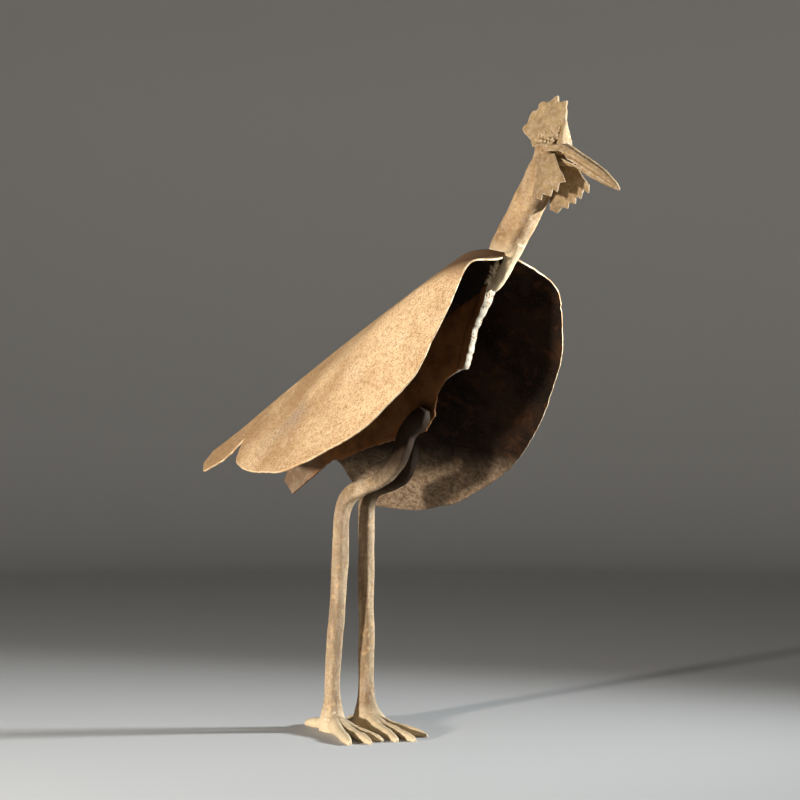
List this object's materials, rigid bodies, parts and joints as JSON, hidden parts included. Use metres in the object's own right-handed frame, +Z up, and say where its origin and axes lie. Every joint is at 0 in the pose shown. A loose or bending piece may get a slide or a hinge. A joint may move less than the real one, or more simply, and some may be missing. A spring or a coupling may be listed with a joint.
{
  "type": "iron hen sculpture",
  "caption": "Standing hen of rusted sheet iron: a round sheet folded over a plate as back and wings, with a bar neck, toothed comb, split beak, wattles and forged legs.",
  "frame": {"origin": "middle of the underside of the whole hen's box, on the floor under the soles", "axes": "+X ahead, the way the beak points, +Y to the hen's left, +Z up"},
  "size_m": [0.5532, 0.258, 0.6016],
  "materials": {
    "rusted_sheet": "dry ochre rust with fine dark speckle",
    "dark_plate": "dark brown scale with orange rust, dull",
    "forged_iron": "forged and welded iron, tan rust, dull"
  },
  "bodies": {
    "root": {"back_and_wings": "rusted_sheet", "body_plate": "dark_plate", "neck": "forged_iron", "comb": "forged_iron", "beak": "forged_iron", "right_wattle": "forged_iron", "left_wattle": "forged_iron", "right_leg": "forged_iron", "left_leg": "forged_iron"}
  },
  "joints": []
}
